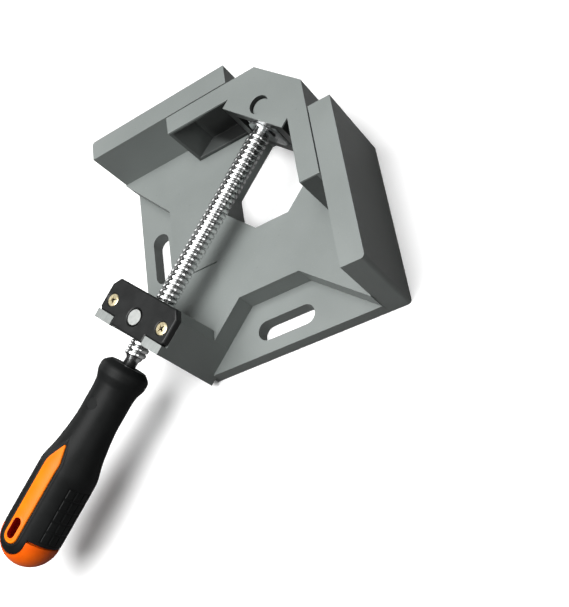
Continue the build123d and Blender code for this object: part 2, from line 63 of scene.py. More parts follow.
screw_points = points("lead_screw")
screw_height = (screw_points[:, 2].max() + screw_points[:, 2].min()) / 2
crest_radius = np.ptp(screw_points[:, 2]) / 2
screw_radii = np.hypot(screw_points[:, 1], screw_points[:, 2] - screw_height)
crest_points = screw_points[screw_radii > crest_radius - 0.0001]
thread_start = crest_points[:, 0].min()
thread_stop = crest_points[:, 0].max()
handle_front = points("handle_grip")[:, 0].min()
handle_end = points("handle_core")[:, 0].max()
belly_radius = np.ptp(points("handle_core")[:, 2]) / 2
plug_points = points("handle_plugs")
plug_along = (plug_points[:, 0].min() + plug_points[:, 0].max()) / 2
plug_radius = np.ptp(plug_points[:, 0]) / 2
lug_top = points("base_casting")[:, 2].max()
nut_along = points("nut_pivot_upper")[:, 0].mean()
nut_pin_radius = np.ptp(points("nut_pivot_upper")[:, 1]) / 2
jaw_pivot_along = points("jaw_pivot_upper")[:, 0].mean()
jaw_pin_radius = np.ptp(points("jaw_pivot_upper")[:, 1]) / 2
jaw_top = points("swing_jaw")[:, 2].max()
head_screws = points("nut_cap_screws")
head_top = head_screws[:, 2].max()
head_radius = np.ptp(head_screws[:, 0]) / 2
head_along = (head_screws[:, 0].max() + head_screws[:, 0].min()) / 2
head_across = head_screws[:, 1].max() - head_radius

# Sizes that only the looks need
lug_setback = 0.0047
lug_line = points("nut_cap")[:, 0].max() - lug_setback
casting_edge = 0.0008
cap_edge = 0.0007
merge_distance = 0.000002
flat_angle = 0.5 * pi / 180
edge_angle = 28 * pi / 180
thread_pitch = 0.0034
root_radius = 0.0051
thread_past_end = 0.0027
ridge_width = 0.0030
turn_steps = 40
fade_angle = 0.7 * pi
root_chamfer = 0.0004
root_short_of_ridge = 0.0012
grain_height = 0.00004
fine_grain_height = 0.00002

# The heads of the cover plate's screws
head_play = 0.0003
head_screw_length = 0.016
head_dome = 0.0003
head_rim_width = 0.0003
head_rim_drop = 0.00015
cross_turn = 0.55
cross_ends = (0.0019, 0.0023)
wing_half_width = 0.00058
wing_taper = 0.12
wing_edge = 0.0001
recess_depth = 0.0022
recess_slope = 0.7
recess_least = 0.0006

# Where the jaw's painted shade sets in, as distances from either fence, and where the head's darker painted
# shade ends
shade_from_fence = (0.0026, 0.0032)
head_shade_end = (0.056, 0.062)

# The handle, from its front face. Knots of the outline are (distance from the front, radius).
handle_turn = 8 * pi / 180
handle_knots = [(0, 0.0112), (0.0011, 0.0127), (0.0030, 0.0147), (0.0050, 0.0153), (0.0092, 0.0151),
                (0.0142, 0.0133), (0.0188, 0.0128), (0.0372, 0.0128), (0.0422, 0.0132), (0.0469, 0.0136),
                (0.0516, 0.0144), (0.0562, 0.0149), (0.0610, 0.0159), (0.0656, 0.0171), (0.0702, 0.0181),
                (0.1160, 0.0181)]
throat_knots = [(0.001, 0.0043), (0.0002, 0.0050), (0, 0.0095)]
inlay_tip = 0.0550
inlay_shoulder = 0.0672
inlay_round = 0.1157
inlay_half_width = 0.0051
inlay_gap = 0.0003
tip_blunt = 0.0009
shoulder_bend = 0.0080
tongue_half_width = 0.0102
tongue_round = 0.1165
grip_rear = 0.1137
grip_wall = 0.0024
# Stretches of the grip's rows as (from, to, how many), with more rows where the shape turns
row_stretches = [(0, 0.0024, 10), (0.0024, 0.016, 24), (0.016, 0.0235, 12), (0.0235, 0.0338, 34),
                 (0.0338, 0.0545, 20), (0.0545, 0.0675, 34), (0.0675, 0.0757, 16), (0.0757, 0.1095, 84)]
rows_even = row_stretches[-1][1]
inside_rows = [0.0722, 0.0622] + np.linspace(0.0520, 0.0020, 16).tolist()
rim_drop = 0.0003
rim_width = 0.0006
rim_bead = 0.00015
core_front = 0.030
slot_middle = 0.1115
slot_reach = 0.0036
slot_radius = 0.0028
pads_start = 0.0762
pad_pitch = 0.0071
pad_rows = 4
pad_columns = 5
pads_low_turn = 56 * pi / 180
pads_high_turn = 124 * pi / 180
pad_lift = 0.0001
pad_gap_depth = 0.0004
pad_slope = 0.0004
half_gap_along = 0.0003
half_gap_round = 0.0002
plug_play = 0.00004
opening_foot = 0.006
opening_top = 0.025
core_depth = 0.0022
core_gap = 0.00008
inlay_foot = 0.009
inlay_edge = 0.0004
inlay_bead = 0.00016
slot_bead = 0.0002

# The handle's own directions: towards its top, where the inlay lies, and to that side
TOP = np.cos(handle_turn) * UP + np.sin(handle_turn) * ACROSS
SIDE = np.cos(handle_turn) * ACROSS - np.sin(handle_turn) * UP
dome_middle = handle_end - handle_front - belly_radius


# Shapes on grids

def smooth(value, low, high):
    """0 below low, 1 above high, and a smooth step between."""
    t = np.clip((value - low) / (high - low), 0, 1)
    return t * t * (3 - 2 * t)


def ridge(value, low, high, edge):
    """1 between low and high, 0 outside, with smooth sides as wide as edge."""
    return smooth(value, low - edge, low) * (1 - smooth(value, high, high + edge))


def about_screw(along, turn, radius):
    """Points at a distance along the screw, an angle about it and a radius from it."""
    along, turn, radius = np.broadcast_arrays(along, turn, radius)
    return (along[..., None] * ALONG + (radius * np.sin(turn))[..., None] * ACROSS
            + (screw_height + radius * np.cos(turn))[..., None] * UP)


def grid_faces(rows, columns, wrap_rows=False):
    """Four-sided faces between the neighbours of a grid of points, whose columns close to a ring."""
    row = np.arange(rows if wrap_rows else rows - 1)[:, None]
    column = np.arange(columns)[None, :]
    next_row = (row + 1) % rows
    next_column = (column + 1) % columns
    corners = [row * columns + column, next_row * columns + column,
               next_row * columns + next_column, row * columns + next_column]
    return np.stack([np.broadcast_to(c, np.broadcast_shapes(row.shape, column.shape)) for c in corners],
                    axis=-1).reshape(-1, 4)


def mesh_piece(name, vertices, faces, crease):
    """An object of these points and faces, smooth except over edges sharper than crease degrees."""
    mesh = bpy.data.meshes.new(name)
    mesh.from_pydata(np.asarray(vertices).reshape(-1, 3).tolist(), [], [tuple(f) for f in faces])
    tidy = bmesh.new()
    tidy.from_mesh(mesh)
    bmesh.ops.remove_doubles(tidy, verts=tidy.verts, dist=1e-6)
    bmesh.ops.dissolve_degenerate(tidy, edges=tidy.edges, dist=1e-7)
    bmesh.ops.recalc_face_normals(tidy, faces=tidy.faces)
    tidy.to_mesh(mesh)
    tidy.free()
    mesh.shade_smooth()
    mesh.set_sharp_from_angle(angle=crease * pi / 180)
    piece = bpy.data.objects.new(name, mesh)
    bpy.context.scene.collection.objects.link(piece)
    return piece


def capped_grid(points_grid):
    """Points and faces of a grid whose columns close to a ring, with a flat cap at its first and last row."""
    rows, columns = points_grid.shape[:2]
    caps = [list(range(columns)), [(rows - 1) * columns + c for c in range(columns)]]
    return points_grid.reshape(-1, 3), grid_faces(rows, columns).tolist() + caps


def applied(piece):
    """The same object with its modifiers worked into its mesh."""
    bpy.context.view_layer.update()
    evaluated = piece.evaluated_get(bpy.context.evaluated_depsgraph_get())
    mesh = bpy.data.meshes.new_from_object(evaluated)
    piece.modifiers.clear()
    piece.data = mesh
    return piece


def joined(name, pieces):
    """One object from several, with their meshes put together."""
    whole = bmesh.new()
    for piece in pieces:
        whole.from_mesh(piece.data)
        bpy.data.objects.remove(piece)
    mesh = bpy.data.meshes.new(name)
    whole.to_mesh(mesh)
    whole.free()
    result = bpy.data.objects.new(name, mesh)
    bpy.context.scene.collection.objects.link(result)
    return result


def dress(piece, body, material, slot, *nodes):
    """Gives a finished piece its material, its body and the nodes that it stands for."""
    piece.data.materials.clear()
    piece.data.materials.append(material)
    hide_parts(*nodes)
    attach(piece, body)


def softened(node, edge):
    """A copy of a node's mesh with its flat faces made whole and its sharp edges rounded.

    Each corner's normal leans to the largest face around it, so flat faces look flat up to their edges.
    """
    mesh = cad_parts[node].data.copy()
    whole = bmesh.new()
    whole.from_mesh(mesh)
    bmesh.ops.remove_doubles(whole, verts=whole.verts, dist=merge_distance)
    bmesh.ops.dissolve_limit(whole, angle_limit=flat_angle, verts=whole.verts, edges=whole.edges)
    whole.to_mesh(mesh)
    whole.free()
    mesh.shade_smooth()
    piece = bpy.data.objects.new(node + "_edged", mesh)
    bpy.context.scene.collection.objects.link(piece)
    bevel = piece.modifiers.new("edges", "BEVEL")
    bevel.width = edge
    bevel.segments = 3
    bevel.limit_method = "ANGLE"
    bevel.angle_limit = edge_angle
    bevel.use_clamp_overlap = True
    normals = piece.modifiers.new("normals", "WEIGHTED_NORMAL")
    normals.mode = "FACE_AREA"
    normals.weight = 100
    normals.keep_sharp = True
    return applied(piece)


# The screw

def thread_ridge():
    """The raised thread: a low round-topped ridge, carried along a right-hand helix.

    At angle t of the helix the ridge's middle lies half its width past thread_start + pitch * t / 2 pi.
    "side" runs over the ridge from one foot (-1) to the other (1), and "height" is 1 at the crest and 0 at
    the root. The ridge rises out of the root over a third of a turn at each end.
    """
    turns = (thread_stop + thread_past_end - thread_start - ridge_width) / thread_pitch
    angle = np.linspace(0, 2 * pi * turns, int(turns * turn_steps))[:, None]
    fade = smooth(angle, 0, fade_angle) * (1 - smooth(angle, angle.max() - fade_angle, angle.max()))
    side = np.array([-1, -0.86, -0.72, -0.52, -0.28, 0, 0.28, 0.52, 0.72, 0.86, 1, 1, -1])
    height = np.array([-0.04, 0.44, 0.82, 0.95, 0.99, 1, 0.99, 0.95, 0.82, 0.44, -0.04, -0.3, -0.3])
    along = thread_start + ridge_width / 2 + thread_pitch * angle / (2 * pi) + side * ridge_width / 2
    rise = np.where(height > 0, height * fade, height)
    radius = root_radius + (crest_radius - root_radius) * rise
    return mesh_piece("thread", *capped_grid(about_screw(along, -angle, radius)), crease=60)


def screw_rod():
    """The rod under the thread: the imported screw's own outline, with its crest let down to the root."""
    outline = screw_outline()
    turn = np.linspace(0, 2 * pi, 64, endpoint=False)
    place = about_screw(outline[:, :1], turn[None, :], outline[:, 1:])
    return mesh_piece("rod", *capped_grid(place), crease=35)


def screw_outline():
    """(along, radius) of the rod from its tip to the shank in the handle."""
    tip = screw_points[:, 0].min()
    tip_radius = screw_radii[screw_points[:, 0] < thread_start - 0.001].max()
    shank_end = screw_points[:, 0].max()
    shank_radius = screw_radii[screw_points[:, 0] > shank_end - 0.001].max()
    chamfer = root_chamfer
    root_stop = thread_stop + thread_past_end - root_short_of_ridge
    return np.array([
        (tip, tip_radius - chamfer), (tip + chamfer, tip_radius), (thread_start, tip_radius),
        (thread_start, root_radius - chamfer), (thread_start + chamfer, root_radius),
        (root_stop, root_radius), (root_stop + 4 * chamfer, shank_radius), (shank_end, shank_radius),
    ])


def threaded_screw():
    """The rod and its thread as one object."""
    return joined("threaded_screw", [screw_rod(), thread_ridge()])


# The handle

def about_handle(front_distance, turn, radius):
    """Points on the handle, whose turn counts from its own top."""
    return about_screw(handle_front + front_distance, turn + handle_turn, radius)


def outline_radius(front_distance):
    """The handle's radius: straight stretches between the knots, then a ball.

    The stretches are rounded by averaging over a window, which is narrow at the collar and wider behind it.
    """
    knots = np.array(handle_knots)
    window = 0.0005 + 0.0017 * smooth(front_distance, 0.012, 0.02)
    steps = np.linspace(-1, 1, 9)
    average = np.mean([np.interp(front_distance + step * window, *knots.T) for step in steps], axis=0)
    past = np.clip(front_distance - dome_middle, 0, belly_radius)
    return np.where(past > 0, np.sqrt(belly_radius ** 2 - past ** 2), average)


def inlay_distance(along, across):
    """Distance outside the inlay's outline, as the larger of two distances, softly joined.

    One is from the pointed front's slanted sides, and the other from the straight sides and round rear. The
    soft join is too large where the two are nearly equal, so a part of that surplus is taken off everywhere.
    """
    across = np.abs(across)
    slope = np.array([inlay_shoulder - inlay_tip, inlay_half_width])
    slope = slope / np.hypot(*slope)
    front = (along - inlay_tip) * -slope[1] + across * slope[0]
    rear = np.hypot(np.maximum(along - inlay_round, 0), across) - inlay_half_width
    softness = 0.0005
    taken_off = 0.00015
    return np.logaddexp(front / softness, rear / softness) * softness - taken_off


def inlay_outline(gap, count=150):
    """(distance from the front, across) round the inlay, this far outside its edge, in even steps.

    Each side runs over three arcs: the blunt tip, the soft shoulder and the round rear.
    """
    slope = np.arctan2(inlay_half_width, inlay_shoulder - inlay_tip)
    bend = inlay_shoulder + shoulder_bend * np.tan(slope / 2)
    arcs = [(inlay_tip + tip_blunt / np.sin(slope), 0, tip_blunt, pi, pi / 2 + slope),
            (bend, inlay_half_width - shoulder_bend, shoulder_bend, pi / 2 + slope, pi / 2),
            (inlay_round, 0, inlay_half_width, pi / 2, 0)]
    side = []
    for along, across, radius, first, last in arcs:
        angle = np.linspace(first, last, 30)
        reach = radius + gap
        side.append(np.stack([along + reach * np.cos(angle), across + reach * np.sin(angle)], axis=1))
    side = np.concatenate(side)
    length = np.concatenate([[0], np.cumsum(np.hypot(*np.diff(side, axis=0).T))])
    even = np.linspace(0, length[-1], count)
    side = np.stack([np.interp(even, length, side[:, 0]), np.interp(even, length, side[:, 1])], axis=1)
    return np.concatenate([side, side[-2:0:-1] * (1, -1)])


def slot_distance(along, across):
    """Distance outside the hanging slot's outline."""
    return np.hypot(np.maximum(np.abs(along - slot_middle) - slot_reach, 0), across) - slot_radius


def tongue_reach(turn):
    """Distance from the front at which the soft grip ends.

    Above and below, its round tongue lies on the dome: a cylinder square to the handle's top face cuts the
    ball there. Between them it ends in a straight edge.
    """
    sine = np.sin(turn) ** 2
    lead = tongue_round - dome_middle
    b = 2 * lead * sine
    c = (belly_radius ** 2 - lead ** 2) * sine - tongue_half_width ** 2
    on_tongue = c < 0
    c = np.where(on_tongue, c, 0)
    reach = (b + np.sqrt(b * b - 4 * (1 - sine) * c)) / (2 * np.maximum(1 - sine, 0.1))
    return np.where(on_tongue, tongue_round + reach, grip_rear)


def handle_columns():
    """Angles round the handle from its top, with extra ones where the tongue's edge turns."""
    top = np.linspace(0, 0.40, 30)
    lead = tongue_round - dome_middle
    corner = np.arcsin(tongue_half_width / np.sqrt(belly_radius ** 2 - lead ** 2)) - 1e-5
    tongue = corner - (corner - top[-1]) * np.linspace(1, 0, 11)[1:] ** 1.5
    middle = np.linspace(corner + 0.008, pads_low_turn - 0.03, 12)
    side = np.linspace(pads_low_turn - 0.03, pi / 2, 30)[1:]
    quarter = np.concatenate([top, tongue, middle, side])
    half = np.concatenate([quarter, pi - quarter[-2::-1]])
    return np.concatenate([half, 2 * pi - half[-2:0:-1]])


def grip_rows(columns):
    """Distances from the front of the grip's rows: alike in all columns, then led to its rear edge."""
    rows = np.concatenate([np.linspace(a, b, count, endpoint=False) for a, b, count in row_stretches])
    share = np.linspace(0, 1, 42)[:, None]
    return np.concatenate([np.broadcast_to(rows[:, None], (len(rows), len(columns))),
                           rows_even + share * (tongue_reach(columns) - rows_even)])


def pad_height(front_distance, turn):
    """Height of the grip's side pads: a block of rectangles with shallow gaps between them."""
    turn = np.where(turn > pi, 2 * pi - turn, turn)
    pads_stop = pads_start + pad_columns * pad_pitch
    inside = ridge(front_distance, pads_start, pads_stop, 0.0004)
    inside = inside * ridge(turn, pads_low_turn, pads_high_turn, 0.02)
    row_pitch = (pads_high_turn - pads_low_turn) / pad_rows
    gap_along = np.abs((front_distance - pads_start) / pad_pitch % 1 - 0.5) * pad_pitch
    gap_round = np.abs((turn - pads_low_turn) / row_pitch % 1 - 0.5) * row_pitch * belly_radius
    half_along = pad_pitch / 2
    half_round = row_pitch * belly_radius / 2
    edge_along = half_along - half_gap_along
    edge_round = half_round - half_gap_round
    pad = 1 - smooth(gap_along, edge_along - pad_slope, edge_along)
    pad = pad * (1 - smooth(gap_round, edge_round - pad_slope, edge_round))
    return inside * (pad_lift - pad_gap_depth * (1 - pad))


def soft_grip():
    """The moulded grip as a closed sleeve, with the inlays' openings and the plugs' holes cut out of it.

    Its outside is the handle's outline, rounded down along the openings and the rear edge, with a low bead
    round the openings and pads at the sides. Its inside lies a wall deeper.
    """
    columns = handle_columns()
    along = grip_rows(columns)
    radius = outline_radius(along)
    near_inlays = np.abs(np.cos(columns)) > 0.3
    far_away = 1
    distance = np.where(near_inlays, inlay_distance(along, radius * np.sin(columns)), far_away)
    from_rear = along[-1:] - along
    radius = radius + pad_height(along, columns)
    radius = radius + rim_bead * ridge(distance, 0.0010, 0.0016, 0.0005)
    radius = radius - rim_drop * (1 - smooth(distance, inlay_gap, inlay_gap + rim_width))
    radius = radius - rim_drop * (1 - smooth(from_rear, 0, rim_width))
    outside = about_handle(along, columns, radius)
    inner = np.array(inside_rows)[:, None] + 0 * columns
    inside = np.concatenate([
        about_handle(along[-1], columns, outline_radius(along[-1]) - grip_wall)[None],
        about_handle(rows_even, columns, belly_radius - grip_wall)[None],
        about_handle(inner, columns, outline_radius(inner) - grip_wall)])
    throat = [about_handle(distance, columns, radius)[None] for distance, radius in throat_knots]
    shell = np.concatenate([outside, inside, *throat])
    sleeve = mesh_piece("soft_grip", shell, grid_faces(*shell.shape[:2], wrap_rows=True), crease=50)
    plug_angle = np.linspace(0, 2 * pi, 48, endpoint=False)
    plug_outline = (plug_radius + plug_play) * np.stack([np.cos(plug_angle), np.sin(plug_angle)], axis=1)
    plug_outline[:, 0] += plug_along - handle_front
    cutters = [prism(outline, side * opening_foot, side * opening_top) for side in (1, -1)
               for outline in (inlay_outline(inlay_gap), plug_outline)]
    return cut_out(sleeve, joined("grip_cutter", cutters))


def core_body():
    """The hard core without its inlays: deep under the grip, and up to the skin past the grip's edge.

    Past that edge its rows go on round the ball of the dome, close together at first, and the first two
    stay deep.
    """
    columns = handle_columns()
    covered = grip_rows(columns)
    covered = covered[covered[:, 0] > core_front]
    start = np.arcsin((covered[-1] - dome_middle) / belly_radius)
    share = np.concatenate([[0.012, 0.024, 0.036, 0.06], np.linspace(0.1, 1, 24)])[:, None]
    dome = dome_middle + belly_radius * np.sin(start + (pi / 2 - start) * share)
    dome[-1] = handle_end - handle_front
    along = np.concatenate([covered, dome])
    beyond = np.arange(len(along))[:, None] >= len(covered) + 2
    radius = np.maximum(outline_radius(along) - np.where(beyond, core_gap, core_depth), 0)
    return mesh_piece("core_body", *capped_grid(about_handle(along, columns, radius)), crease=50)


def inlay_body(side):
    """One inlay, on the handle's top for side 1 and below for -1.

    Rings run inwards from its outline to its middle line, on the handle's own outline. They are rounded
    down at the edge, with a low bead inside it and another round the hanging slot. A wall runs down into
    the core.
    """
    edge = inlay_outline(0)
    middle = edge * (1, 0)
    middle[:, 0] = np.clip(edge[:, 0], edge[:, 0].min() + tip_blunt, inlay_round)
    width = np.hypot(*(edge - middle).T)
    near = np.array([0, 0.00004, 0.0001, 0.0002, 0.0003, 0.0004, 0.0005, 0.00065, 0.0008])[:, None]
    share = np.concatenate([near / width, 1 - (1 - near[-1] / width) * np.linspace(1, 0, 14)[1:, None]])
    ring = edge + share[..., None] * (middle - edge)
    along, across = ring[..., 0], ring[..., 1]
    inward = share * width
    drop = inlay_edge - np.sqrt(inlay_edge ** 2 - np.clip(inlay_edge - inward, 0, None) ** 2)
    bead = inlay_bead * ridge(inward, 0.00045, 0.0008, 0.0003)
    bead = bead + slot_bead * ridge(slot_distance(along, across), 0.0002, 0.0007, 0.0004)
    height = np.sqrt((outline_radius(along) - drop + bead) ** 2 - across ** 2)
    along = np.concatenate([along[::-1], edge[None, :, 0], middle[None, :, 0]])
    across = np.concatenate([across[::-1], edge[None, :, 1], middle[None, :, 1]])
    height = np.concatenate([height[::-1], np.full((2, len(edge)), inlay_foot)])
    place = ((handle_front + along)[..., None] * ALONG + across[..., None] * SIDE
             + side * height[..., None] * TOP + screw_height * UP)
    return mesh_piece("inlay", place, grid_faces(*place.shape[:2]), crease=50)


def hard_core():
    """The core with both inlays, and the hanging slot cut through all three."""
    end = np.linspace(-pi / 2, pi / 2, 20)
    half = np.stack([slot_reach + slot_radius * np.cos(end), slot_radius * np.sin(end)], axis=1)
    slot = np.concatenate([half, -half]) + (slot_middle, 0)
    pieces = [cut_out(piece, prism(slot, -1.4 * belly_radius, 1.4 * belly_radius))
              for piece in (core_body(), inlay_body(1), inlay_body(-1))]
    return joined("hard_core", pieces)


def prism(outline, low, high):
    """A solid between two heights over the screw's axis. Its outline is (distance from the front, across)."""
    place = (handle_front + outline[:, :1]) * ALONG + outline[:, 1:] * SIDE + screw_height * UP
    heights = np.array([low, high])[:, None, None]
    return mesh_piece("prism", *capped_grid(place[None] + heights * TOP), crease=30)


def cut_out(piece, cutter):
    """The piece without the room that the cutter takes up."""
    cut = piece.modifiers.new("cut", "BOOLEAN")
    cut.operation = "DIFFERENCE"
    cut.solver = "EXACT"
    cut.object = cutter
    applied(piece)
    bpy.data.objects.remove(cutter)
    piece.data.shade_smooth()
    piece.data.set_sharp_from_angle(angle=40 * pi / 180)
    return piece


# The cap screws

def cross_head(middle_along, middle_across, top, radius):
    """A countersunk head seen from above: a low dome with a cross recess, its cone and its stem.

    The recess depth falls off from the middle outwards, and its four wings taper in width.
    """
    ring = np.concatenate([[1e-5], np.linspace(0.0002, 0.0026, 22), np.linspace(0.0028, radius - 0.0003, 8),
                           [radius - 0.0001, radius]])[:, None]
    turn = np.linspace(0, 2 * pi, 96, endpoint=False)[None, :]
    twist = turn + cross_turn * np.sign(middle_across)
    beside = np.minimum(np.abs(ring * np.sin(twist)), np.abs(ring * np.cos(twist)))
    wing = wing_half_width - wing_taper * ring
    recess = (1 - smooth(beside, wing - wing_edge, wing + wing_edge)) * (1 - smooth(ring, *cross_ends))
    dome = head_dome * (1 - (ring / radius) ** 2)
    dome = dome - head_rim_drop * smooth(ring, radius - head_rim_width, radius)
    height = top + dome - recess * np.clip(recess_depth - recess_slope * ring, recess_least, None)
    stem_radius = radius / 2.1
    below = np.array([(stem_radius, top - radius + stem_radius), (stem_radius, top - head_screw_length)])
    ring_all = np.concatenate([np.broadcast_to(ring, height.shape),
                               np.broadcast_to(below[:, :1], (2, height.shape[1]))])
    height_all = np.concatenate([height, np.broadcast_to(below[:, 1:], (2, height.shape[1]))])
    place = ((middle_along + ring_all * np.cos(turn))[..., None] * ALONG
             + (middle_across + ring_all * np.sin(turn))[..., None] * ACROSS + height_all[..., None] * UP)
    return mesh_piece("cross_head", *capped_grid(place), crease=35)


def head_pair():
    """Both screws of the cover plate as one object."""
    heads = [cross_head(head_along, side * head_across, head_top, head_radius - head_play)
             for side in (-1, 1)]
    return joined("cross_head_screws", heads)


# Materials

class Value:
    """A number that may vary over a surface. Python's operators on it add Math nodes."""

    def __init__(self, shade, socket):
        self.shade = shade
        self.socket = socket

    def math(self, operation, *others):
        values = dict(enumerate((self,) + others))
        return self.shade.add("ShaderNodeMath", {"operation": operation}, values)

    def __add__(self, other):
        return self.math("ADD", other)

    def __sub__(self, other):
        return self.math("SUBTRACT", other)

    def __mul__(self, other):
        return self.math("MULTIPLY", other)

    def __rsub__(self, other):
        return (self * -1) + other

    __radd__ = __add__
    __rmul__ = __mul__

    def step(self, low, high):
        """0 below low and 1 above high, smooth between."""
        settings = {"interpolation_type": "SMOOTHSTEP"}
        inputs = {"Value": self, "From Min": low, "From Max": high}
        return self.shade.add("ShaderNodeMapRange", settings, inputs)

    def absolute(self):
        return self.math("ABSOLUTE")


class Shade:
    """A material built round one Principled shader."""

    def __init__(self, name, **constants):
        self.material = bpy.data.materials.new(name)
        self.material.use_nodes = True
        self.tree = self.material.node_tree
        self.surface = self.tree.nodes["Principled BSDF"]
        self.set(**constants)

    def add(self, kind, settings=None, inputs=None, output=0):
        """A node of this kind. Its settings come first, then its sockets by name or number."""
        node = self.tree.nodes.new(kind)
        for setting, value in (settings or {}).items():
            setattr(node, setting, value)
        for socket, value in (inputs or {}).items():
            self.feed(node.inputs[socket], value)
        return Value(self, node.outputs[output])

    def feed(self, socket, value):
        if isinstance(value, Value):
            self.tree.links.new(value.socket, socket)
        else:
            socket.default_value = value

    def set(self, **values):
        """Feeds the shader's own sockets, whose names have underscores for spaces."""
        for socket, value in values.items():
            self.feed(self.surface.inputs[socket.replace("_", " ")], value)

    def place(self):
        """The point on the object, in metres."""
        return self.add("ShaderNodeTexCoord", output="Object")

    def parts(self, vector):
        """The three numbers of a vector."""
        first = self.add("ShaderNodeSeparateXYZ", inputs={"Vector": vector})
        return [Value(self, socket) for socket in first.socket.node.outputs]

    def across_screw(self):
        """Distance along the screw, across it and height, in metres."""
        x, y, z = self.parts(self.place())
        return (x + y) * (1 / sqrt(2)), (y - x) * (1 / sqrt(2)), z

    def vector(self, x, y, z):
        return self.add("ShaderNodeCombineXYZ", inputs={"X": x, "Y": y, "Z": z})

    def noise(self, scale, detail=3, roughness=0.5, at=None):
        """Noise between 0 and 1. Scale is in features per metre."""
        inputs = {"Vector": at or self.place(), "Scale": scale, "Detail": detail, "Roughness": roughness}
        return self.add("ShaderNodeTexNoise", inputs=inputs, output="Fac")

    def blend(self, factor, first, second):
        """From the first colour to the second."""
        colors = {0: factor, 6: first, 7: second}
        return self.add("ShaderNodeMix", {"data_type": "RGBA"}, colors, output=2)

    def bump(self, height, distance):
        """A Bump node on the shader's normal. Height is 0 to 1 and distance is in metres."""
        inputs = {"Height": height, "Distance": distance, "Strength": 1.0}
        self.set(Normal=self.add("ShaderNodeBump", inputs=inputs, output="Normal"))


def distance_of(first, second):
    """The length of the line that goes this far one way and that far square to it."""
    return (first * first + second * second).math("SQRT")


def rgb(red, green, blue):
    """A colour given as display values from 0 to 255, as the shader's linear one."""
    display = np.array([red, green, blue]) / 255
    linear = np.where(display > 0.04045, ((display + 0.055) / 1.055) ** 2.4, display / 12.92)
    return (*linear.tolist(), 1.0)


def grey(level):
    """A grey given as the shader's linear value."""
    return (level, level, level, 1)


def casting_paint(shade):
    """The castings' grey paint on a shade: its colour, its roughness and the height of its ripples."""
    cloud = shade.noise(22, 3, 0.5)
    speck = shade.noise(1400, 2, 0.6)
    pit = shade.noise(520, 2, 0.5)
    color = shade.blend(cloud.step(0.3, 0.75), rgb(122, 127, 125), rgb(128, 133, 131))
    color = shade.blend(speck.step(0.6, 0.8) * 0.22, color, rgb(162, 166, 164))
    color = shade.blend(pit.step(0.7, 0.78) * 0.25, color, rgb(84, 88, 86))
    ripples = shade.noise(1100, 2, 0.5) * 0.6 + shade.noise(220, 2, 0.5) * 0.4
    return color, cloud * 0.1 + speck * 0.08 + 0.22, ripples


def base_paint():
    """The paint on the base, whose two lugs are bare sawn metal with marks across the screw."""
    shade = Shade("grey_casting_paint", Metallic=0.0, IOR=1.5, Specular_IOR_Level=0.45)
    color, roughness, ripples = casting_paint(shade)
    along, across, height = shade.across_screw()
    bare = height.step(lug_top - 0.0003, lug_top - 0.0001) * along.step(lug_line - 0.0003, lug_line)
    saw = shade.noise(700, 2, 0.5, at=shade.vector(along * 0.15, across, 0.0))
    metal = shade.blend(saw, rgb(138, 142, 140), rgb(172, 176, 174))
    shade.set(Base_Color=shade.blend(bare, color, metal))
    shade.set(Metallic=bare * 0.7)
    shade.set(Roughness=roughness * (1 - bare) + bare * 0.5)
    shade.bump(ripples * (1 - bare) + saw * bare * 1.5, grain_height)
    return shade.material


def jaw_paint():
    """The paint on the jaw, with painted shade below its top wherever it doesn't face a fence.

    The painted shade is darkest in the hollow head and in the well round the pivot pin, where it stands for
    the shade in the pin's gap. It lies on the head's outer face towards the corner as well.
    """
    shade = Shade("grey_jaw_paint", Metallic=0.0, IOR=1.5, Specular_IOR_Level=0.45)
    color, roughness, ripples = casting_paint(shade)
    x, y, z = shade.parts(shade.place())
    along, across, height = shade.across_screw()
    # Painted shade: darker paint below the top, inside the jaw's hollows and clear of the fences
    below_top = 1 - height.step(jaw_top - 0.0014, jaw_top - 0.0010)
    inside_shade = below_top * x.step(*shade_from_fence) * y.step(*shade_from_fence)
    head = inside_shade * (1 - along.step(*head_shade_end))
    from_pin = distance_of(along - jaw_pivot_along, across)
    well = 1 - from_pin.step(jaw_pin_radius + 0.0002, jaw_pin_radius + 0.0003)
    well = well * (1 - height.step(jaw_top - 0.0003, jaw_top - 0.0002))
    # Painted shade as colour: dark grey inside, near black in the hollow head and in the pin's gap
    color = shade.blend(inside_shade * 0.75, color, rgb(46, 48, 47))
    color = shade.blend((head * 0.8 + well).math("MINIMUM", 1.0), color, rgb(12, 12, 12))
    shade.set(Base_Color=color, Roughness=roughness)
    shade.bump(ripples, grain_height)
    return shade.material


def black_cover():
    """Satin black coating on the cover plate."""
    shade = Shade("satin_black_coating", Metallic=0.0, IOR=1.5, Specular_IOR_Level=0.3)
    grain = shade.noise(1600, 2, 0.6)
    cloud = shade.noise(120, 3, 0.5)
    shade.set(Base_Color=shade.blend(cloud.step(0.3, 0.7), rgb(23, 24, 24), rgb(29, 30, 30)))
    shade.set(Roughness=cloud * 0.14 + 0.32)
    shade.bump(grain, grain_height)
    return shade.material


def clouded_metal(shade, dark, light, rough):
    """Gives a shade the scratched gloss of plated metal, and gives back the metal's clouded colour."""
    cloud = shade.noise(260, 4, 0.6)
    scratch = shade.noise(900, 3, 0.6)
    shade.set(Roughness=scratch * 0.12 + cloud * 0.06 + rough)
    shade.bump(scratch, fine_grain_height)
    return shade.blend(cloud.step(0.3, 0.75), dark, light)


def bright_zinc():
    """Zinc plating: bright metal with a slight haze."""
    shade = Shade("bright_zinc_plating", Metallic=1.0)
    shade.set(Base_Color=clouded_metal(shade, rgb(196, 199, 200), rgb(226, 228, 228), 0.14))
    return shade.material


def spring_steel():
    """Dark oiled steel, on the retaining ring."""
    shade = Shade("oiled_spring_steel", Metallic=1.0)
    shade.set(Base_Color=clouded_metal(shade, rgb(60, 60, 62), rgb(84, 84, 86), 0.3))
    return shade.material


